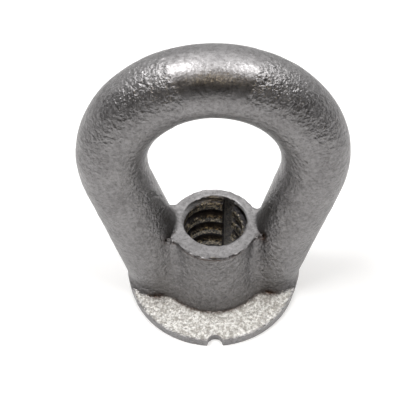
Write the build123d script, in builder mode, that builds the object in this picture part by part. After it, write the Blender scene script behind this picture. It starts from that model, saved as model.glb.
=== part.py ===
from build123d import *
from math import acos, atan2, cos, degrees, hypot, radians, sin, sqrt, tan
import os

# Flanged lifting eye nut, forged in one piece and tapped for a 3/4 in coil-threaded bar.
# The origin is the centre of the seating face. +Z points up through the bore to the
# crown of the eye, and the eye lies in the XZ plane.

# Bore and its right-hand coil thread, 4 1/2 turns to the inch on a 3/4 in bar
crest_radius = 8.1
thread_pitch = 25.4 / 4.5
thread_depth = 1.45
groove_mouth = 3.1          # width of the thread groove at the crests
groove_root = 1.3           # and at its floor
groove_start = 0.17         # height of the groove's middle at +X, just above the seat
mouth_margin = 0.45         # the countersunk mouths clear the thread root by this much
upper_mouth_depth = 1.3
lower_mouth_depth = 1.1
relief_width = 3.2          # two axial reliefs cut through the thread, opposite each other
relief_margin = 0.4         # their floors lie this much beyond the thread root
relief_turn = 61.0          # degrees from +X towards +Y

# Flange
flange_radius = 25.0
flange_thickness = 2.8
flange_edge_break = 0.5     # small chamfer round the top and bottom of the rim
notch_radius = 2.1          # half-round witness notch in the front of the rim
notch_offset = 0.4          # its middle, towards +X of the centre line

# Hub
hub_height = 24.25          # from the seating face to the machined top land
hub_wall = 2.35             # outside the thread root, at the land
hub_into_leg = 0.3          # at the land the hub reaches at least this far into each leg
hub_spread_radius = 79.0    # the side of the hub spreads towards the flange on this curve
hub_leg_blend = 3.6         # hollow between the hub and each leg

# Eye
eye_centre_height = 48.35
eye_mean_radius = 25.7      # to the centre line of the bar
bar_radius = 8.4            # round bar at the crown and the shoulders
leg_foot_radius = 8.9       # the bar swells towards the flange
leg_set_in = 1.7            # from the rim of the flange in to the foot of each leg

# Leg centre line: from its foot it runs tangent to the circle of the eye
foot_offset = flange_radius - leg_set_in - leg_foot_radius
foot_to_centre = hypot(foot_offset, eye_centre_height)
foot_bearing = degrees(atan2(-eye_centre_height, foot_offset))
leg_lean = -foot_bearing - degrees(acos(eye_mean_radius / foot_to_centre))
leg_length = sqrt(foot_to_centre**2 - eye_mean_radius**2)
leg_direction = Vector(sin(radians(leg_lean)), 0, cos(radians(leg_lean)))
leg_foot = Vector(foot_offset, 0, 0)

# One leg: a slender cone turned about its centre line and cut off at the seating face
leg_swell = (leg_foot_radius - bar_radius) / leg_length
leg_slant = cos(radians(leg_lean))
buried_length = 2 * leg_foot_radius * tan(radians(leg_lean))
buried_radius = leg_foot_radius + leg_swell * buried_length

with BuildPart() as leg:
    with BuildSketch(Plane(leg_foot, x_dir=Vector(0, 1, 0).cross(leg_direction), z_dir=(0, -1, 0))):
        with BuildLine():
            Polyline(
                (0, -buried_length),
                (buried_radius, -buried_length),
                (bar_radius, leg_length),
                (0, leg_length),
                close=True,
            )
        make_face()
    revolve(axis=Axis(leg_foot, leg_direction))
    split(bisect_by=Plane.XY, keep=Keep.TOP)

# Hub: its land clears the thread and bridges the legs, and its side spreads towards the flange
root_radius = crest_radius + thread_depth
mouth_radius = root_radius + mouth_margin
land_leg_radius = (leg_foot_radius - leg_swell * hub_height / leg_slant) / leg_slant
leg_gap_at_land = foot_offset + hub_height * tan(radians(leg_lean)) - land_leg_radius
hub_top_radius = max(root_radius + hub_wall, leg_gap_at_land + hub_into_leg)
hub_base_radius = hub_top_radius + hub_spread_radius - sqrt(hub_spread_radius**2 - hub_height**2)

# Root of the forging: flange, hub and legs with their hollows. The hub is turned with a
# spreading side. It is run on above its land with a flare that keeps up with the lean of the
# legs, so that the hollows run out cleanly through the land, and is then faced off.
flare_height = hub_top_radius / 2
flare_reach = flare_height * tan(radians(leg_lean)) + hub_into_leg / 3
flare_radius = (flare_height**2 + flare_reach**2) / (2 * flare_reach)
flare_top = hub_height + flare_height
flare_top_radius = hub_top_radius + flare_reach

with BuildPart() as root:
    with BuildSketch(Plane.YZ):
        with BuildLine():
            side = RadiusArc((hub_base_radius, 0), (hub_top_radius, hub_height), -hub_spread_radius)
            flare = RadiusArc(side @ 1, (flare_top_radius, flare_top), -flare_radius)
            Polyline(flare @ 1, (0, flare_top), (0, 0), side @ 0)
        make_face()
    revolve(axis=Axis.Z)
    add(leg.part)
    add(leg.part.mirror(Plane.YZ))
    fillet(root.edges().filter_by(GeomType.BSPLINE), hub_leg_blend)
    split(bisect_by=Plane.XY.offset(hub_height), keep=Keep.BOTTOM)
    with BuildSketch(Plane.XY):
        Circle(flange_radius)
    extrude(amount=flange_thickness)
    rim = root.edges().filter_by(GeomType.CIRCLE).group_by(SortBy.RADIUS)[-1]
    chamfer(rim, flange_edge_break)

# Thread groove: a trapezium carried up a helix, from below the seat to above the land
overlap = thread_depth / 3  # it starts inside the bore, so that its mouth is clean
groove_flank = (groove_mouth - groove_root) / (2 * thread_depth)
inner_half = groove_mouth / 2 + overlap * groove_flank

with BuildPart() as thread_groove:
    with BuildLine():
        helix = Helix(
            pitch=thread_pitch,
            height=hub_height + 3 * thread_pitch,
            radius=crest_radius,
            center=(0, 0, groove_start - 2 * thread_pitch),
        )
    with BuildSketch(Plane(helix @ 0, x_dir=(1, 0, 0), z_dir=helix % 0)):
        with BuildLine():
            Polyline(
                (-overlap, -inner_half),
                (thread_depth, -groove_root / 2),
                (thread_depth, groove_root / 2),
                (-overlap, inner_half),
                close=True,
            )
        make_face()
    sweep(is_frenet=True)

# The whole forging: the root, with the legs run on up to the round of the eye
with BuildPart() as eye_nut:
    add(root.part)
    add(leg.part)
    add(leg.part.mirror(Plane.YZ))
    with BuildSketch(Plane(leg_foot + leg_direction * leg_length, z_dir=leg_direction)):
        Circle(bar_radius)
    revolve(
        axis=Axis((0, 0, eye_centre_height), (0, -1, 0)),
        revolution_arc=180 + 2 * leg_lean,
    )

    # Witness notch, through the rim
    with BuildSketch(Plane.XY):
        with Locations((notch_offset, -flange_radius)):
            Circle(notch_radius)
    extrude(amount=flange_thickness, mode=Mode.SUBTRACT)

    # Thread groove, then the bore that opens it, countersunk at both ends
    add(thread_groove.part, mode=Mode.SUBTRACT)
    with BuildSketch(Plane.XZ):
        with BuildLine():
            Polyline(
                (0, 0),
                (mouth_radius, 0),
                (crest_radius, lower_mouth_depth),
                (crest_radius, hub_height - upper_mouth_depth),
                (mouth_radius, hub_height),
                (0, hub_height),
                close=True,
            )
        make_face()
    revolve(axis=Axis.Z, mode=Mode.SUBTRACT)

    # Axial reliefs through the thread
    with BuildSketch(Plane.XY):
        Rectangle(2 * (root_radius + relief_margin), relief_width, rotation=relief_turn)
    extrude(amount=hub_height, mode=Mode.SUBTRACT)

eye_nut.part.label = "eye_nut"
os.makedirs("parts", exist_ok=True)
export_step(eye_nut.part, "parts/eye_nut.step")
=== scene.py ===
from math import acos, atan2, cos, hypot, pi, radians, sin

import bpy
import numpy as np
from mathutils import Matrix, Vector


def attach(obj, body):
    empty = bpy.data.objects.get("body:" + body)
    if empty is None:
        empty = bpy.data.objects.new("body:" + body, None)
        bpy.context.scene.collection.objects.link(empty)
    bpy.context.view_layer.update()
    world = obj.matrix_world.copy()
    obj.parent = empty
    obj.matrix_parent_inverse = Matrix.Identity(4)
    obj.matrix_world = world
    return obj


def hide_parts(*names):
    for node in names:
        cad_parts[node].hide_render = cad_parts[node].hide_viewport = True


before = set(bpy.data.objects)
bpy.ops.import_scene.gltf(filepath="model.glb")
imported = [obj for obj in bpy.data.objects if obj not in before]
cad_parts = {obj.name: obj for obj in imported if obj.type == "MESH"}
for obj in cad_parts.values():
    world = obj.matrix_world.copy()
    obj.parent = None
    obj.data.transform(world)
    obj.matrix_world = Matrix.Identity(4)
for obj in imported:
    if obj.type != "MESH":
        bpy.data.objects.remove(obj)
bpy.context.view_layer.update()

# The forging is laid out in millimetres and made into metres as it becomes a mesh.
# Lights, floor and noise scales (lumps to the metre) are in metres.
MM = 0.001

# Flange and the notch in its front edge
FLANGE_RADIUS = 25.0
FLANGE_THICKNESS = 2.8
RIM_ROUND = 0.2
NOTCH_RADIUS = 2.1
NOTCH_X = 0.4
NOTCH_ROUND = 0.25

# Hub, from the rim of its machined land down to its spreading foot
LAND_HEIGHT = 24.25
HUB_TOP_RADIUS = 12.05
HUB_SPREAD = 63.0           # radius of the curve on which its side spreads
HUB_RUN_ON = 9.0            # how far above the land that curve runs on, inside the legs
HOLLOW = 3.0                # between the hub and each leg
LAND_ROUND = 1.2            # where the legs rise from the land
LAND_ROUND_DEPTH = 1.5      # it fades out within this depth of the outside
HUB_FOOT_ROUND, LEG_FOOT_ROUND = 0.7, 2.6
LEG_FOOT_STARTS, LEG_FOOT_GROWS = 14.0, 4.0     # in x, from the hub's round to the leg's

# The ragged lip that facing left round the land, and the burrs at its corners
LIP_RADIUS = 0.38
LIP_LIMIT = 14.6            # it thins out beyond this distance from the bore's axis
BURR_RADIUS = 0.8
BURRS = ((-13.6, -5.4), (-12.4, -6.4), (13.0, -5.0))
LIP_RAGGED, BURR_RAGGED = 0.5, 0.4
LIP_BLEND = 0.25
LIP_ZONE_RADIUS, LIP_ZONE_HEIGHT = 18.0, 2.5    # neither reaches out of this zone

# Bore and its right-hand coil thread
CREST_RADIUS = 8.1
ROOT_RADIUS = 9.55
PITCH = 25.4 / 4.5
CREST_AT_BACK = 4.4         # height of a crest at the back of the bore
CREST_FLAT = 1.5
FLANK = 1.5

# The countersink in the land is off centre, and the one in the seat is not
MOUTH_RADIUS, MOUTH_DEPTH = 9.25, 1.1
MOUTH_SHIFT = (0.5, 0.95)
MOUTH_INWARD, MOUTH_DOWNWARD = 0.6, 0.8
SEAT_MOUTH_RADIUS, SEAT_MOUTH_TAPER = 10.0, 1.7

# Two opposite axial reliefs through the thread
RELIEF_REACH = 9.95
RELIEF_WIDTH = 3.2
RELIEF_TURN = radians(61)

# Eye: an oval of round bar with two legs that run tangent into it
EYE_HEIGHT = 48.2
EYE_HALF_WIDTH = 25.4
EYE_HALF_HEIGHT = 26.05
CROWN_RADIUS = 8.2
LEFT_SHOULDER, RIGHT_SHOULDER = 8.8, 8.5
LEFT_FOOT, RIGHT_FOOT = 9.95, 8.9
LEFT_FOOT_X, RIGHT_FOOT_X = -16.0, 17.3
FOOT_HEIGHT = 8.25
FOOT_RUN_DOWN = 0.3         # share of a leg's length that it runs on below its foot

# The forged skin: how far each size of lump stands out, and its seed
HAMMER_WAVES = ((0.10, 1, 9.0), (0.05, 2, 4.0))
PEBBLES = ((0.035, 3, 1.7), (0.03, 4, 1.0))
SKIN_ON_MACHINED = 0.15     # share of it that is left where the metal is machined

# Grid for the surface: fine round the bore and the hub, coarser elsewhere
FINE_CELL, COARSE_CELL = 0.37, 0.64
FINE_HALF_WIDTH, FINE_BELOW, FINE_ABOVE = 11, -0.8, 26
GRID_HALF_WIDTH, GRID_HALF_DEPTH, GRID_LOW, GRID_HIGH = 35.3, 26.2, -1.2, 84
CORNER_STIFFNESS = 0.05     # holds a corner to its cell's middle where the surface is flat
SHARP_EDGE = radians(38)

# Plate, what lies on it, and painted light and shade, as linear colours
PLATE = (0.172, 0.167, 0.168, 1), (0.215, 0.209, 0.210, 1)
SPECK = (0.11, 0.103, 0.10, 1)
FLECK = (0.42, 0.41, 0.41, 1)
# Painted sparkle: the flange top is coloured near white where overhead light would glint on its
# pebbles
FLANGE_PAINTED_SPARKLE = (0.48, 0.455, 0.42, 1), (1.0, 0.985, 0.95, 1)
# Painted shade, tinted brown, where other metal stands close in front of the surface
CREVICE_PAINTED_SHADE = (0.09, 0.065, 0.05, 1)
# Tapped metal, darker than the plate, and a golden painted glint spotted over it
TAPPED_AND_PAINTED_GLINT = (0.13, 0.125, 0.125, 1), (0.72, 0.62, 0.45, 1)
# Painted shade in the thread's groove
GROOVE_PAINTED_SHADE = (0.06, 0.057, 0.06, 1)
# Brown dirt mixed with painted shade under the hub's rim, at its corners and along the feet
DIRT_AND_PAINTED_SHADE = (0.06, 0.032, 0.02, 1)

# Studio
PAPER = (0.80, 0.80, 0.80, 1), (0.82, 0.82, 0.82, 1)
PAPER_GLOW = 0.30
FLOOR_HALF_WIDTH = 1.5
WHITE = (1, 1, 1)
ROOM_COLOUR, ROOM_STRENGTH = (1.0, 0.92, 0.88, 1), 0.035
DARK_SIDE, WHITE_SIDE = -0.15, 0.45     # in the y of a direction
LIGHTS_AIM = (0, 0, 0.04)
SOFT_LIGHTS = (             # name, place, size, radiance, colour
    ("ceiling", (0, 0.16, 0.62), (0.95, 0.62), 1.15, WHITE),
    ("left_softbox", (-0.21, -0.03, 0.55), (0.26, 0.22), 10.5, WHITE),
    ("right_softbox", (0.21, -0.05, 0.55), (0.22, 0.20), 8.6, WHITE),
    ("brown_wall", (0, -0.42, 0.70), (1.2, 0.36), 0.10, (1.0, 0.66, 0.42)),
    ("warm_lamp", (0.01, -0.36, 0.50), (0.07, 0.03), 22.0, (1.0, 0.82, 0.52)),
)


def ramp(value, low, high):
    """0 up to low, 1 from high on, and a straight run between them."""
    return np.clip((value - low) / (high - low), 0, 1)


def bump_at(*offsets):
    """1 where every offset is 0, falling off smoothly as any of them nears 1 and more."""
    return np.exp(-sum(offset**2 for offset in offsets))


def leg_tangent(foot_x):
    """The angle round the oval, from its +X side, where the leg's centre line meets it."""
    x, z = foot_x / EYE_HALF_WIDTH, (FOOT_HEIGHT - EYE_HEIGHT) / EYE_HALF_HEIGHT
    turn = acos(1 / hypot(x, z))
    return atan2(z, x) + (turn if foot_x > 0 else -turn)


def leg_line(foot_x, foot_radius, end, end_radius):
    """Points and bar radii of one leg, from below its foot up to the oval."""
    reach = np.linspace(-FOOT_RUN_DOWN, 1, 20)
    points = np.outer(1 - reach, [foot_x, FOOT_HEIGHT]) + np.outer(reach, end)
    return points, foot_radius + reach * (end_radius - foot_radius)


def centre_line():
    """Points and bar radii from below the left foot, over the crown, to below the right foot."""
    start, end = leg_tangent(LEFT_FOOT_X) % (2 * pi), leg_tangent(RIGHT_FOOT_X)
    angle = np.linspace(start, end, 150)
    x, z = EYE_HALF_WIDTH * np.cos(angle), EYE_HEIGHT + EYE_HALF_HEIGHT * np.sin(angle)
    oval = np.stack([x, z], 1)
    shoulder = np.where(x < 0, LEFT_SHOULDER, RIGHT_SHOULDER)
    across = np.clip(np.abs(x) / EYE_HALF_WIDTH, 0, 1)
    radii = CROWN_RADIUS + (shoulder - CROWN_RADIUS) * across**2
    left, left_radii = leg_line(LEFT_FOOT_X, LEFT_FOOT, oval[0], radii[0])
    right, right_radii = leg_line(RIGHT_FOOT_X, RIGHT_FOOT, oval[-1], radii[-1])
    path = np.concatenate([left[:-1], oval, right[-2::-1]])
    return path, np.concatenate([left_radii[:-1], radii, right_radii[-2::-1]])


class FlatTable:
    """How far each place in the XZ plane is from the centre line, and the bar radius there."""

    LOW, SIZE, STEP = np.array([-40.0, -6.0]), (80, 96), 0.25

    def __init__(self):
        count = [int(size / self.STEP) + 1 for size in self.SIZE]
        lines = (self.LOW[i] + self.STEP * np.arange(count[i]) for i in (0, 1))
        x, z = np.meshgrid(*lines, indexing="ij")
        path, radii = centre_line()
        self.distance, self.radius = np.full(count, np.inf), np.zeros(count)
        for a, b, ra, rb in zip(path[:-1], path[1:], radii[:-1], radii[1:]):
            along = b - a
            t = ((x - a[0]) * along[0] + (z - a[1]) * along[1]) / (along @ along)
            t = np.clip(t, 0, 1)
            away = np.hypot(x - a[0] - t * along[0], z - a[1] - t * along[1])
            near = away < self.distance
            self.distance = np.where(near, away, self.distance)
            self.radius = np.where(near, ra + t * (rb - ra), self.radius)

    def __call__(self, x, z):
        u, v = (x - self.LOW[0]) / self.STEP, (z - self.LOW[1]) / self.STEP
        i = np.clip(u.astype(int), 0, self.distance.shape[0] - 2)
        j = np.clip(v.astype(int), 0, self.distance.shape[1] - 2)
        u, v = u - i, v - j
        found = []
        for table in (self.distance, self.radius):
            low = table[i, j] * (1 - u) + table[i + 1, j] * u
            high = table[i, j + 1] * (1 - u) + table[i + 1, j + 1] * u
            found.append(low * (1 - v) + high * v)
        return found


class Noise:
    """Smooth seeded noise between -1 and 1 whose lumps are about one cell wide."""

    PERIOD = 40

    def __init__(self, seed, cell):
        self.lattice = np.random.default_rng(seed).uniform(-1, 1, (self.PERIOD,) * 3)
        self.cell = cell

    def __call__(self, p):
        q = p / self.cell
        base = np.floor(q).astype(int)
        f = q - base
        f = f * f * (3 - 2 * f)
        total = np.zeros(len(p))
        for corner in np.ndindex(2, 2, 2):
            i, j, k = ((base + corner) % self.PERIOD).T
            share = np.prod(np.where(corner, f, 1 - f), axis=1)
            total += share * self.lattice[i, j, k]
        return total


bar = FlatTable()
ragged = Noise(7, 1.3)


def round_union(a, b, radius):
    """Two forms joined with a hollow of this radius."""
    corner = np.hypot(np.maximum(radius - a, 0), np.maximum(radius - b, 0))
    return np.maximum(radius, np.minimum(a, b)) - corner


def round_cut(a, cutter, radius):
    """One form cut by another's inside, with the edge rounded."""
    corner = np.hypot(np.maximum(radius + a, 0), np.maximum(radius - cutter, 0))
    return np.minimum(-radius, np.maximum(a, -cutter)) + corner


def eye_and_legs(p):
    """Signed distance to the bar that makes the eye and both legs."""
    away, bar_radius = bar(p[:, 0], p[:, 2])
    return np.hypot(away, p[:, 1]) - bar_radius


def spreading_hub(p):
    """Signed distance to the hub's side, which spreads towards the flange."""
    down = np.maximum(LAND_HEIGHT - p[:, 2], -HUB_RUN_ON)
    radius = HUB_TOP_RADIUS + HUB_SPREAD - np.sqrt(HUB_SPREAD**2 - down**2)
    return np.hypot(p[:, 0], p[:, 1]) - radius


def rim_burrs(p, side):
    """The thin ragged lip that facing left round the land, and the burrs at its corners."""
    x, y, z = p.T
    rough = ragged(p)
    beyond = np.maximum(np.hypot(x, y) - LIP_LIMIT, 0)
    lip = np.hypot(side, z - LAND_HEIGHT + LIP_RADIUS)
    metal = lip - LIP_RADIUS * (1 + LIP_RAGGED * rough) + beyond
    for burr_x, burr_y in BURRS:
        away = np.sqrt((x - burr_x) ** 2 + (y - burr_y) ** 2 + (z - LAND_HEIGHT) ** 2)
        metal = np.minimum(metal, away - BURR_RADIUS - BURR_RAGGED * rough)
    return metal


def flange_disc(p):
    """Signed distance to the flange, with its rim slightly worn round."""
    out = np.hypot(p[:, 0], p[:, 1]) - FLANGE_RADIUS + RIM_ROUND
    over = np.abs(p[:, 2] - FLANGE_THICKNESS / 2) - FLANGE_THICKNESS / 2 + RIM_ROUND
    beyond = np.hypot(np.maximum(out, 0), np.maximum(over, 0))
    return beyond + np.minimum(np.maximum(out, over), 0) - RIM_ROUND


def bore_radius(angle, z):
    """The threaded wall of the bore, countersunk at the seat."""
    turn = (z - CREST_AT_BACK) / PITCH - (angle - pi / 2) / (2 * pi)
    off_crest = np.abs(turn - np.round(turn)) * PITCH
    fall = ramp(off_crest, CREST_FLAT / 2, CREST_FLAT / 2 + FLANK)
    wall = CREST_RADIUS + (ROOT_RADIUS - CREST_RADIUS) * fall * fall * (3 - 2 * fall)
    return np.maximum(wall, SEAT_MOUTH_RADIUS - SEAT_MOUTH_TAPER * np.maximum(z, 0))


def tapped_hole(p):
    """Signed distance to the open space: the bore, its upper countersink and the reliefs."""
    x, y, z = p.T
    bore = np.hypot(x, y) - bore_radius(np.arctan2(y, x), z)
    mouth = np.hypot(x - MOUTH_SHIFT[0], y - MOUTH_SHIFT[1]) - MOUTH_RADIUS
    below_land = np.maximum(LAND_HEIGHT - z, 0)
    bore = np.minimum(bore, MOUTH_INWARD * mouth + MOUTH_DOWNWARD * below_land)
    along = x * cos(RELIEF_TURN) + y * sin(RELIEF_TURN)
    aside = y * cos(RELIEF_TURN) - x * sin(RELIEF_TURN)
    relief = np.maximum(np.abs(along) - RELIEF_REACH, np.abs(aside) - RELIEF_WIDTH / 2)
    # The front relief stops below the land, and the back one runs out through it
    relief = np.maximum(relief, np.where(y < 0, z - LAND_HEIGHT + MOUTH_DEPTH, -1))
    return np.maximum(np.minimum(bore, relief), z - LAND_HEIGHT - 1)


def forging(p):
    """Signed distance to the whole forging: negative inside the metal."""
    x, y, z = p.T
    legs = eye_and_legs(p)
    side = round_union(spreading_hub(p), legs, HOLLOW)
    root = np.maximum(side, z - LAND_HEIGHT)
    buried = ramp(-side, 0, LAND_ROUND_DEPTH)
    metal = round_union(root, legs, LAND_ROUND * buried)
    near = (np.abs(z - LAND_HEIGHT) < LIP_ZONE_HEIGHT) & (np.hypot(x, y) < LIP_ZONE_RADIUS)
    metal[near] = round_union(metal[near], rim_burrs(p[near], side[near]), LIP_BLEND)
    foot = ramp(np.abs(x), LEG_FOOT_STARTS, LEG_FOOT_STARTS + LEG_FOOT_GROWS)
    foot_round = HUB_FOOT_ROUND + (LEG_FOOT_ROUND - HUB_FOOT_ROUND) * foot
    metal = round_union(metal, flange_disc(p), foot_round)
    metal = np.maximum(metal, -z)
    notch = np.hypot(x - NOTCH_X, y + FLANGE_RADIUS) - NOTCH_RADIUS
    metal = round_cut(metal, notch, NOTCH_ROUND)
    return np.maximum(metal, -tapped_hole(p))


def slope_of(field, p, reach=0.02):
    """The unit direction in which the field rises fastest."""
    step = np.eye(3) * reach
    rise = np.stack([field(p + s) - field(p - s) for s in step], 1)
    return rise / np.maximum(np.linalg.norm(rise, axis=1, keepdims=True), 1e-9)


def graded(low, fine_low, fine_high, high):
    """Grid lines from low to high that are closer together between the two fine limits."""
    below = np.arange(fine_low, low, -COARSE_CELL)[:0:-1]
    fine = np.arange(fine_low, fine_high, FINE_CELL)
    return np.concatenate([below, fine, np.arange(fine_high, high, COARSE_CELL)])


def sample(field, axes):
    """The field at every point of the grid, one slice at a time."""
    value = np.empty([len(a) for a in axes])
    y, z = (line.ravel() for line in np.meshgrid(axes[1], axes[2], indexing="ij"))
    for k, x in enumerate(axes[0]):
        value[k] = field(np.stack([np.full(y.size, x), y, z], 1)).reshape(value.shape[1:])
    return value


def crossed_edges(inside):
    """Both ends of every grid edge that the surface crosses, and the four cells round it."""
    strides = np.array([inside.shape[1] * inside.shape[2], inside.shape[2], 1])
    unit = np.eye(3, dtype=int)
    starts, ends, cells = [], [], []
    for axis in range(3):
        near = tuple(slice(0, -1) if i == axis else slice(1, -1) for i in range(3))
        far = tuple(slice(1, None) if i == axis else slice(1, -1) for i in range(3))
        start = np.argwhere(inside[near] != inside[far]) + 1 - unit[axis]
        u, v = unit[(axis + 1) % 3], unit[(axis + 2) % 3]
        starts.append(start)
        ends.append(start + unit[axis])
        cells.append(np.stack([(start - a) @ strides for a in (0 * u, u, u + v, v)], 1))
    return [np.concatenate(parts) for parts in (starts, ends, cells)]


def zero_between(field, a, fa, b, fb):
    """Where the field is zero between a and b, closed in on from both ends."""
    for _ in range(4):
        t = np.clip((fa / (fa - fb))[:, None], 0.05, 0.95)
        middle = a + t * (b - a)
        fm = field(middle)
        same = (fm < 0) == (fa < 0)
        a, fa = np.where(same[:, None], middle, a), np.where(same, fm, fa)
        b, fb = np.where(same[:, None], b, middle), np.where(same, fb, fm)
    return a + (fa / (fa - fb))[:, None] * (b - a)


def fit_corners(cross, normal, corner, count):
    """For each cell, the point that lies nearest to the planes where its edges are crossed."""

    def gather(rows):
        sums = (np.bincount(corner.ravel(), np.repeat(row, 4), count) for row in rows.T)
        return np.stack(list(sums), 1)

    mean = gather(cross) / np.bincount(corner.ravel(), minlength=count)[:, None]
    outer = gather((normal[:, :, None] * normal[:, None, :]).reshape(-1, 9)).reshape(-1, 3, 3)
    offset = gather(normal * np.sum(normal * cross, 1)[:, None])
    offset -= np.einsum("nij,nj->ni", outer, mean)
    move = np.linalg.solve(outer + CORNER_STIFFNESS * np.eye(3), offset[:, :, None])
    return mean + move[:, :, 0]


def contour(field, axes):
    """Corners and four-sided faces of the field's zero surface, with sharp edges kept."""
    value = sample(field, axes)
    start, end, cells = crossed_edges(value < 0)
    a, b = (np.stack([axes[i][node[:, i]] for i in range(3)], 1) for node in (start, end))
    fa, fb = value[tuple(start.T)], value[tuple(end.T)]
    cross = zero_between(field, a, fa, b, fb)
    used, corner = np.unique(cells, return_inverse=True)
    corner = corner.reshape(cells.shape)
    corners = fit_corners(cross, slope_of(field, cross), corner, len(used))
    box = np.stack(np.unravel_index(used, value.shape), 1)
    low, high = (np.stack([axes[i][box[:, i] + k] for i in range(3)], 1) for k in (0, 1))
    quads = np.where((fa < 0)[:, None], corner, corner[:, ::-1])
    return np.clip(corners, low, high), quads


def skin(p):
    """How far the forged skin stands out, from broad hammer waves down to shot-blast pebbles."""
    return sum(height * Noise(seed, cell)(p) for height, seed, cell in HAMMER_WAVES + PEBBLES)


def machined(p):
    """1 on the land, in the bore and on the seat, falling to 0 on the forged skin."""
    radial = np.hypot(p[:, 0], p[:, 1])
    bore = 1 - ramp(radial, CREST_RADIUS + 2.1, CREST_RADIUS + 2.6)
    land = (np.abs(p[:, 2] - LAND_HEIGHT) < 0.15) & (radial < 22)
    seat = p[:, 2] < 0.1
    return np.maximum(bore, land | seat)


def sheltered(p, normal):
    """Near 1 where other metal stands close in front of the surface, near 0 in the open."""
    look = 2.5
    return 1 - ramp(forging(p + look * normal), 0, look)


def flange_top(p):
    """1 on the open top of the flange, falling to 0 at the foot of the hub and the legs."""
    level = 1 - ramp(np.abs(p[:, 2] - FLANGE_THICKNESS), 0, 0.5)
    return level * (1 - ramp(np.hypot(p[:, 0], p[:, 1]), FLANGE_RADIUS - 0.7, FLANGE_RADIUS - 0.3))


def tapped_wall(p):
    """1 on the wall of the bore up to the countersink, and 1 in the thread's groove alone."""
    radial = np.hypot(p[:, 0], p[:, 1])
    wall = 1 - ramp(radial, CREST_RADIUS + 1.8, CREST_RADIUS + 2.0)
    wall *= 1 - ramp(p[:, 2], LAND_HEIGHT - 1.3, LAND_HEIGHT - 0.9)
    return wall, wall * ramp(radial, CREST_RADIUS + 0.25, CREST_RADIUS + 0.75)


def dirt_and_painted_shade(p):
    """Where brown dirt mixed with painted shade lies: under the hub's rim, at its corners and
    along the feet.
    """
    x, y, z = p.T
    front = ramp(-y, 3, 6)
    leg_side, hub_side = np.abs(eye_and_legs(p)), np.abs(spreading_hub(p))
    on_hub = (np.hypot(x, y) > HUB_TOP_RADIUS - 0.5) & (leg_side > 0.2)
    under_rim = bump_at((z - LAND_HEIGHT + 1.0) / 0.45) * on_hub
    corner = bump_at((np.abs(x) - 13.6) / 1.3, (y + 5.2) / 1.5, (z - LAND_HEIGHT) / 1.6)
    above = z - FLANGE_THICKNESS
    feet = bump_at((np.abs(x) - 16.3) / 2.8, (above - 0.5) / 0.9, leg_side / 2.2)
    foot_line = 0.8 * bump_at((above - 0.2) / 0.4, hub_side / 0.8)
    return np.maximum.reduce([under_rim * front, corner, feet * front, foot_line * front])


def make_mesh(name, corners, quads, attributes):
    """A smooth mesh from corners in millimetres, with a number at each for every attribute."""
    mesh = bpy.data.meshes.new(name)
    mesh.vertices.add(len(corners))
    mesh.vertices.foreach_set("co", (corners * MM).ravel())
    mesh.loops.add(quads.size)
    mesh.loops.foreach_set("vertex_index", quads.ravel())
    mesh.polygons.add(len(quads))
    mesh.polygons.foreach_set("loop_start", np.arange(0, quads.size, 4))
    mesh.update(calc_edges=True)
    mesh.validate()
    for key, values in attributes.items():
        mesh.attributes.new(key, "FLOAT", "POINT").data.foreach_set("value", values)
    mesh.polygons.foreach_set("use_smooth", [True] * len(mesh.polygons))
    mesh.set_sharp_from_angle(angle=SHARP_EDGE)
    return mesh


def build_forging():
    across, through = (
        graded(-half, -FINE_HALF_WIDTH, FINE_HALF_WIDTH, half)
        for half in (GRID_HALF_WIDTH, GRID_HALF_DEPTH)
    )
    height = graded(GRID_LOW, FINE_BELOW, FINE_ABOVE, GRID_HIGH)
    corners, quads = contour(forging, (across, through, height))
    normal = slope_of(forging, corners, 0.2)
    cut = machined(corners)
    bore, groove = tapped_wall(corners)
    attributes = {
        "machined": cut,
        "shelter": sheltered(corners, normal),
        "flange": flange_top(corners),
        "dirt_and_shade": dirt_and_painted_shade(corners),
        "bore": bore,
        "groove": groove,
    }
    stands_out = skin(corners) * (1 - (1 - SKIN_ON_MACHINED) * cut)
    corners = corners + normal * stands_out[:, None]
    mesh = make_mesh("eye_nut_forging", corners, quads, attributes)
    mesh.materials.append(zinc_material())
    piece = bpy.data.objects.new("eye_nut_forging", mesh)
    bpy.context.scene.collection.objects.link(piece)
    return piece


class Nodes:
    """Short calls for building the node tree of a material or the world."""

    def __init__(self, owner):
        owner.use_nodes = True
        self.tree = owner.node_tree
        self.tree.nodes.clear()

    def add(self, kind, inputs=None, **settings):
        node = self.tree.nodes.new(kind)
        for key, value in settings.items():
            setattr(node, key, value)
        for key, value in (inputs or {}).items():
            self.feed(node.inputs[key], value)
        return node

    def feed(self, socket, value):
        if isinstance(value, bpy.types.NodeSocket):
            self.tree.links.new(value, socket)
        else:
            socket.default_value = value

    def noise(self, place, scale, detail=2.0, roughness=0.5):
        inputs = {"Vector": place, "Scale": scale, "Detail": detail, "Roughness": roughness}
        return self.add("ShaderNodeTexNoise", inputs).outputs["Fac"]

    def spread(self, value, low, high, to_low=0.0, to_high=1.0):
        inputs = {"Value": value, "From Min": low, "From Max": high}
        inputs |= {"To Min": to_low, "To Max": to_high}
        return self.add("ShaderNodeMapRange", inputs).outputs["Result"]

    def mix(self, share, a, b):
        node = self.add("ShaderNodeMix", data_type="RGBA")
        colours = [s for s in node.inputs if s.type == "RGBA"]
        for socket, value in zip([node.inputs[0]] + colours, (share, a, b)):
            self.feed(socket, value)
        return [s for s in node.outputs if s.type == "RGBA"][0]

    def math(self, kind, a, b):
        return self.add("ShaderNodeMath", {0: a, 1: b}, operation=kind).outputs[0]

    def rays_that_see(self):
        """1 for the rays by which the camera, metal and glass see, 0 for those that light."""
        rays = self.add("ShaderNodeLightPath").outputs
        seen = self.math("ADD", rays["Is Camera Ray"], rays["Is Glossy Ray"])
        return self.math("ADD", seen, rays["Is Transmission Ray"])


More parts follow.
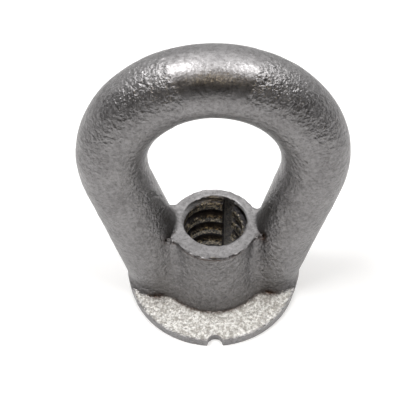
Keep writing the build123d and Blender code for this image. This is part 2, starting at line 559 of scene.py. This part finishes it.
def plate_colour(n, place, marks):
    """Zinc plate: cloudy, specked and flecked, with a painted sparkle on the flange top, painted
    shade in sheltered places and in the thread's groove, brown dirt mixed with painted shade along
    the feet, and darker tapped metal with painted glints in the bore.
    """
    plate = n.mix(n.spread(n.noise(place, 130, 3), 0.35, 0.65), *PLATE)
    plate = n.mix(n.spread(n.noise(place, 2300, 3, 0.6), 0.52, 0.62, 0, 0.6), plate, SPECK)
    plate = n.mix(n.spread(n.noise(place, 1100, 3, 0.6), 0.38, 0.62, 0, 0.32), plate, FLECK)
    # Painted sparkle of overhead light, whitening the flange top
    painted_sparkle = n.mix(n.spread(n.noise(place, 1300, 3, 0.6), 0.40, 0.60), *FLANGE_PAINTED_SPARKLE)
    plate = n.mix(marks["flange"], plate, painted_sparkle)
    # Painted shade in sheltered places, broken up by noise and weaker on machined metal
    broken = n.spread(n.noise(place, 420, 4), 0.42, 0.62)
    crevice_shade = n.math("MULTIPLY", n.spread(marks["shelter"], 0.4, 0.95), broken)
    less_shade_if_cut = n.spread(marks["machined"], 0, 1, 0.6, 0.35)
    plate = n.mix(n.math("MULTIPLY", crevice_shade, less_shade_if_cut), plate, CREVICE_PAINTED_SHADE)
    # Painted golden glints on the tapped wall
    tapped_and_glints = n.mix(n.spread(n.noise(place, 1500, 3, 0.6), 0.46, 0.60, 0, 0.9), *TAPPED_AND_PAINTED_GLINT)
    # Painted shade fills the thread's groove
    plate = n.mix(marks["bore"], plate, n.mix(marks["groove"], tapped_and_glints, GROOVE_PAINTED_SHADE))
    # Brown dirt mixed with painted shade, in patches
    patchy = n.spread(n.noise(place, 900, 4, 0.65), 0.32, 0.46)
    return n.mix(n.math("MULTIPLY", marks["dirt_and_shade"], patchy), plate, DIRT_AND_PAINTED_SHADE)


def skin_normal(n, place, marks):
    """The finest roughness of the skin: pebbles on forged metal, little on machined metal."""
    voronoi = {"Vector": place, "Scale": 1250.0}
    pebble = n.add("ShaderNodeTexVoronoi", voronoi, feature="SMOOTH_F1").outputs["Distance"]
    fine = n.math("ADD", n.noise(place, 2200, 3), n.math("MULTIPLY", pebble, -0.8))
    height = n.math("ADD", fine, n.math("MULTIPLY", n.noise(place, 800, 2), 1.6))
    smoother = n.math("SUBTRACT", marks["machined"], marks["bore"])
    inputs = {
        "Strength": n.spread(smoother, 0.0, 1.0, 0.75, 0.2),
        "Distance": n.spread(marks["flange"], 0, 1, 0.26 * MM, 0.6 * MM),
        "Height": height,
    }
    return n.add("ShaderNodeBump", inputs).outputs["Normal"]


def zinc_material():
    material = bpy.data.materials.new("zinc_plated_forging")
    n = Nodes(material)
    place = n.add("ShaderNodeTexCoord").outputs["Object"]
    marks = {
        name: n.add("ShaderNodeAttribute", attribute_name=name).outputs["Fac"]
        for name in ("machined", "shelter", "flange", "dirt_and_shade", "bore", "groove")
    }
    rough = n.spread(n.noise(place, 300, 3), 0.3, 0.7, 0.30, 0.44)
    rougher = n.math("MULTIPLY", marks["flange"], 0.10)
    inputs = {
        "Base Color": plate_colour(n, place, marks),
        "Metallic": n.spread(marks["flange"], 0, 1, 1, 0.35),
        "Roughness": n.math("ADD", rough, rougher),
        "Normal": skin_normal(n, place, marks),
    }
    shader = n.add("ShaderNodeBsdfPrincipled", inputs)
    n.add("ShaderNodeOutputMaterial", {"Surface": shader.outputs["BSDF"]})
    return material


def floor_material():
    """White paper. Its glow is only seen, so that it lights nothing and keeps the shadow."""
    material = bpy.data.materials.new("studio_floor")
    n = Nodes(material)
    place = n.add("ShaderNodeTexCoord").outputs["Object"]
    lit = n.add("ShaderNodeBsdfDiffuse", {"Color": n.mix(n.noise(place, 40, 2), *PAPER)})
    glow = n.add("ShaderNodeEmission", {"Color": (*WHITE, 1), "Strength": PAPER_GLOW})
    backing = n.add("ShaderNodeMixShader", {0: n.rays_that_see(), 2: glow.outputs[0]})
    both = n.add("ShaderNodeAddShader", {0: lit.outputs[0], 1: backing.outputs[0]})
    n.add("ShaderNodeOutputMaterial", {"Surface": both.outputs[0]})
    return material


def build_floor():
    half = FLOOR_HALF_WIDTH
    mesh = bpy.data.meshes.new("studio_floor")
    corners = [(-half, -half, 0), (half, -half, 0), (half, half, 0), (-half, half, 0)]
    mesh.from_pydata(corners, [], [(0, 1, 2, 3)])
    mesh.materials.append(floor_material())
    floor = bpy.data.objects.new("studio_floor", mesh)
    bpy.context.scene.collection.objects.link(floor)


def soft_light(name, place, size, radiance, colour):
    """A rectangular softbox of even brightness."""
    data = bpy.data.lights.new(name, "AREA")
    data.shape = "RECTANGLE"
    data.size, data.size_y = size
    data.energy = radiance * pi * size[0] * size[1]
    data.color = colour
    lamp = bpy.data.objects.new(name, data)
    lamp.location = place
    aim = Vector(LIGHTS_AIM) - Vector(place)
    lamp.rotation_euler = aim.to_track_quat("-Z", "Y").to_euler()
    bpy.context.scene.collection.objects.link(lamp)


def build_world():
    """A dim room, seen white behind and beside the object and dark on the camera's side."""
    world = bpy.data.worlds.new("studio")
    n = Nodes(world)
    room = n.add("ShaderNodeBackground", {"Color": ROOM_COLOUR, "Strength": ROOM_STRENGTH})
    white = n.add("ShaderNodeBackground", {"Color": (*WHITE, 1), "Strength": 1.0})
    direction = n.add("ShaderNodeTexCoord").outputs["Generated"]
    backward = n.add("ShaderNodeSeparateXYZ", {0: direction}).outputs["Y"]
    shown = n.math("MULTIPLY", n.rays_that_see(), n.spread(backward, DARK_SIDE, WHITE_SIDE))
    inputs = {0: shown, 1: room.outputs[0], 2: white.outputs[0]}
    either = n.add("ShaderNodeMixShader", inputs)
    n.add("ShaderNodeOutputWorld", {"Surface": either.outputs[0]})
    bpy.context.scene.world = world


def build_camera():
    """The camera looks down on the front of the eye nut, from just left of its middle."""
    elevation, azimuth, roll = 0.859, -0.009, 0.004
    target, distance = Vector((-0.15, 0, 33.85)) * MM, 180 * MM
    level = Vector((cos(azimuth), sin(azimuth), 0))
    out = cos(elevation)
    back = Vector((sin(azimuth) * out, -cos(azimuth) * out, sin(elevation)))
    rise = back.cross(level)
    right = level * cos(roll) + rise * sin(roll)
    up = rise * cos(roll) - level * sin(roll)
    turned = Matrix((right, up, back)).transposed().to_4x4()
    data = bpy.data.cameras.new("camera")
    data.sensor_width, data.lens = 36, 60.64
    data.shift_x = -0.0325
    data.clip_start = 0.01
    camera = bpy.data.objects.new("camera", data)
    camera.matrix_world = Matrix.Translation(target + distance * back) @ turned
    bpy.context.scene.collection.objects.link(camera)
    bpy.context.scene.camera = camera


piece = build_forging()
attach(piece, "root")
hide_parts("eye_nut")

build_floor()
for light in SOFT_LIGHTS:
    soft_light(*light)
build_world()
build_camera()
bpy.context.scene.view_settings.view_transform = "Standard"
